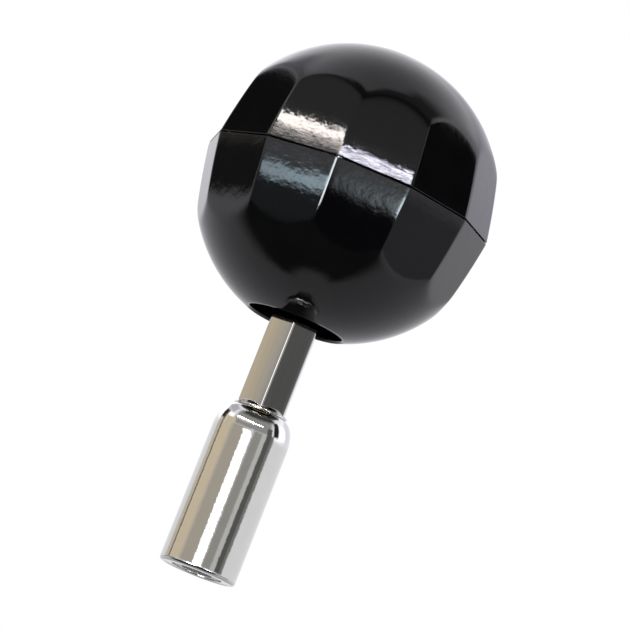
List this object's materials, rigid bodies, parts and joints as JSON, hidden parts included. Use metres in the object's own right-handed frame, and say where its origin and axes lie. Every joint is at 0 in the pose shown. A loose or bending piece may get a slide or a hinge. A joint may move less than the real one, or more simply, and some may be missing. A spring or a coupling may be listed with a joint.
{
  "type": "case opening friction ball",
  "caption": "Hard hollow ball with a faceted grip belt, fixed on a hexagon spindle that turns in a round barrel; its pole is pressed on a screw-back watch case to turn it.",
  "frame": {"origin": "centre of the barrel's flat end face, on the spindle's axis", "axes": "+Z along the spindle from the barrel's end to the ball; a corner of the hexagon bar points along -Y"},
  "size_m": [0.061, 0.061, 0.1148],
  "materials": {
    "black_moulding": "polished black moulding",
    "fibre": "pressed fibre",
    "black_anodised": "black anodised",
    "nitrile_rubber": "matt rubber",
    "ground_steel": "turned steel",
    "brass": "turned brass",
    "black_steel": "blackened steel",
    "zinc_steel": "zinc plated",
    "chrome": "polished chrome plate",
    "hardened_steel": "hardened and tempered",
    "spring_steel": "spring steel",
    "bronze": "sintered bronze",
    "aluminium_tube": "drawn"
  },
  "bodies": {
    "grip": {"barrel": "chrome", "upper_bush": "bronze", "spacer_tube": "aluminium_tube", "lower_bush": "bronze", "end_ring": "chrome"},
    "ball": {"lower_shell": "black_moulding", "joining_ring": "black_anodised", "seal_ring": "nitrile_rubber", "locating_dowels": "ground_steel", "hub": "brass", "hub_screws": "black_steel", "spindle_washer": "zinc_steel", "spring_washer": "black_steel", "spindle_nut": "zinc_steel", "spindle": "chrome", "thrust_washer": "chrome", "drive_socket": "hardened_steel", "socket_pin": "ground_steel", "bit_clip": "spring_steel", "dust_ring": "nitrile_rubber", "circlip": "spring_steel", "backing_washer": "zinc_steel"},
    "cap": {"upper_shell": "black_moulding", "load_pad": "fibre"}
  },
  "joints": [
    {"name": "barrel_turn", "type": "hinge", "parent": "grip", "child": "ball", "pos_m": [0, 0, 0.02], "axis": [0, 0, 1], "continuous": true},
    {"name": "cap_pull", "type": "slide", "parent": "ball", "child": "cap", "axis": [0, 0, 1], "range_m": [0, 0.04]}
  ]
}
